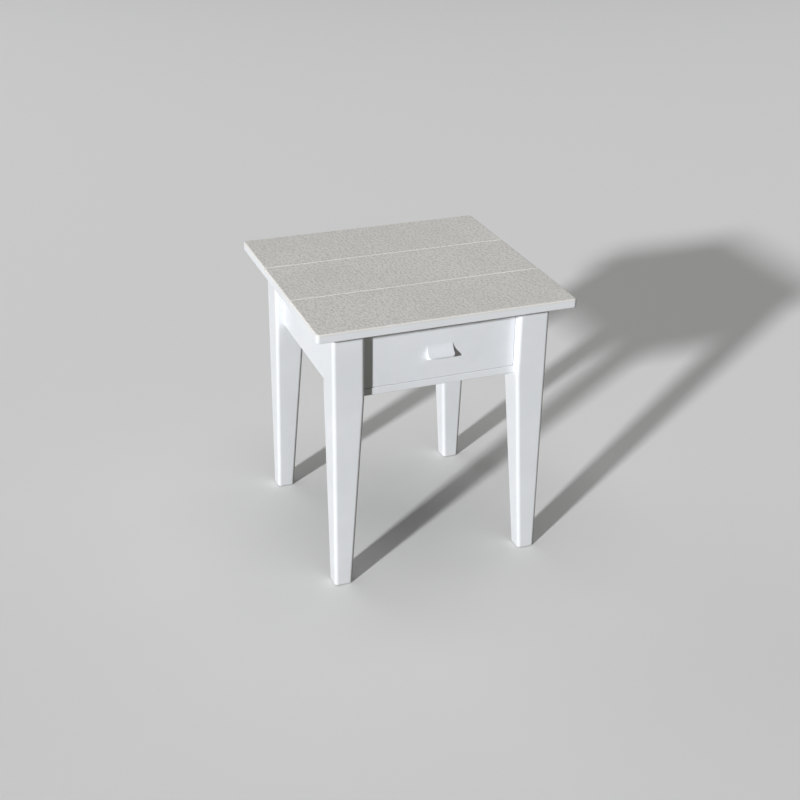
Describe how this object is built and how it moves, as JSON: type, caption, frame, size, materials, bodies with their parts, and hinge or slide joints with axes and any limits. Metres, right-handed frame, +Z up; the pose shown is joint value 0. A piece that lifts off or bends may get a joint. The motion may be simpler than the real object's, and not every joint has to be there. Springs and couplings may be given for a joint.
{
  "type": "miniature table with drawer",
  "caption": "Small square table with a plank top, tapered legs, recessed aprons and a sliding drawer with a scooped pull, at dolls house size.",
  "frame": {"origin": "on the floor, under the middle of the top", "axes": "+Z up, -Y towards the front, where the drawer opens, +X to the right as seen from the front"},
  "size_m": [0.057, 0.056, 0.0625],
  "materials": {
    "top_boards": "white with a warm cast, a fine pebbled grain all over the upper face",
    "legs": "white, satin, with very fine level print lines",
    "frame": "white, satin, with very fine level print lines",
    "inner_strips": "white, matt, left as made",
    "drawer_front": "white, satin, with very fine level print lines",
    "drawer_box": "white, matt, left as made",
    "pull": "white, satin",
    "dowels": "white, matt",
    "pins": "plain drawn brass"
  },
  "bodies": {
    "table": {"top_board_front": "top_boards", "top_board_middle": "top_boards", "top_board_rear": "top_boards", "leg_front_left": "legs", "leg_front_right": "legs", "leg_rear_left": "legs", "leg_rear_right": "legs", "apron_left": "frame", "apron_right": "frame", "apron_rear": "frame", "front_lower_rail": "frame", "front_upper_rail": "inner_strips", "drawer_runner_left": "inner_strips", "drawer_runner_right": "inner_strips", "drawer_guide_left": "inner_strips", "drawer_guide_right": "inner_strips", "drawer_kicker_left": "inner_strips", "drawer_kicker_right": "inner_strips", "drawer_stop_left": "inner_strips", "drawer_stop_right": "inner_strips", "top_pin_front_left": "pins", "top_pin_front_right": "pins", "top_pin_middle_left": "pins", "top_pin_middle_right": "pins", "top_pin_rear_left": "pins", "top_pin_rear_right": "pins"},
    "drawer": {"drawer_front": "drawer_front", "drawer_side_left": "drawer_box", "drawer_side_right": "drawer_box", "drawer_back": "drawer_box", "drawer_bottom": "drawer_box", "drawer_pull": "pull", "pull_dowel_left": "dowels", "pull_dowel_right": "dowels"}
  },
  "joints": [
    {"name": "drawer_slide", "type": "slide", "parent": "table", "child": "drawer", "axis": [0, -1, 0], "range_m": [0, 0.03]}
  ]
}
